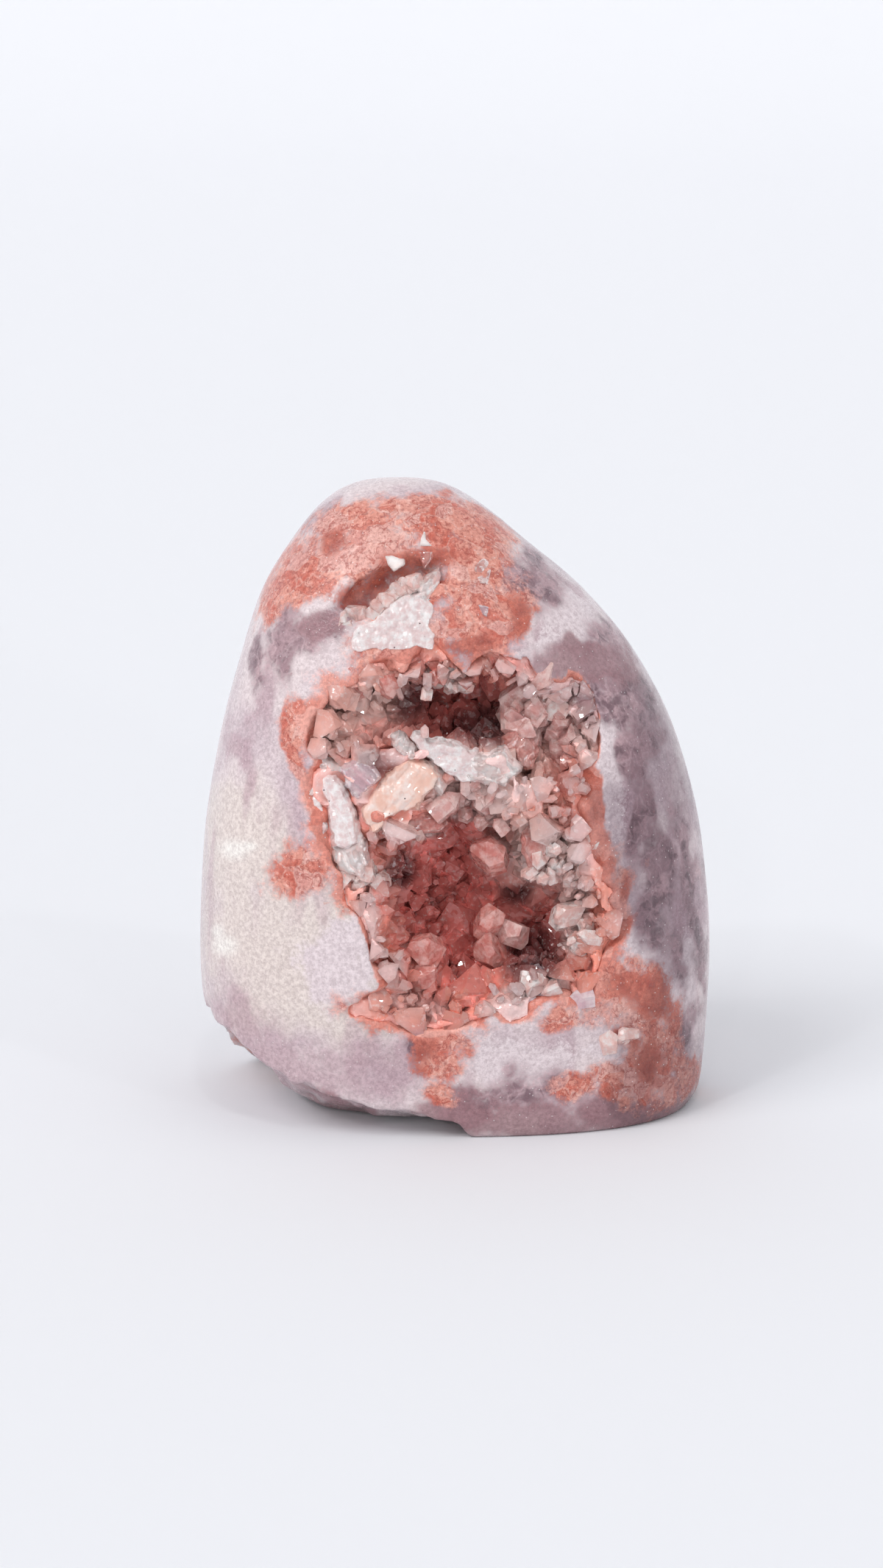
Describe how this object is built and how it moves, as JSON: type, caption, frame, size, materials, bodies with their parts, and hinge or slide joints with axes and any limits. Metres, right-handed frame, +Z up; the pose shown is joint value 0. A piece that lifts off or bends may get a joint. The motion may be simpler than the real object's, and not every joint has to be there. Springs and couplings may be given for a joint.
{
  "type": "amethyst freeform",
  "caption": "Polished pink amethyst freeform that stands on a cut flat base, with an open hollow of quartz crystals in its front face.",
  "frame": {"origin": "middle of the bounding box's base, on the surface that the stone stands on", "axes": "+Z up along the height, -Y the face with the hollow, +X to the right as the hollow is looked at"},
  "size_m": [0.0851, 0.0577, 0.104],
  "materials": {
    "polished_stone": "polished, with milky, lilac and rust-orange zones",
    "crystal_crust": "bright crystal faces, salmon to clear"
  },
  "bodies": {
    "root": {"polished_stone": "polished_stone", "crystal_crust": "crystal_crust"}
  },
  "joints": []
}
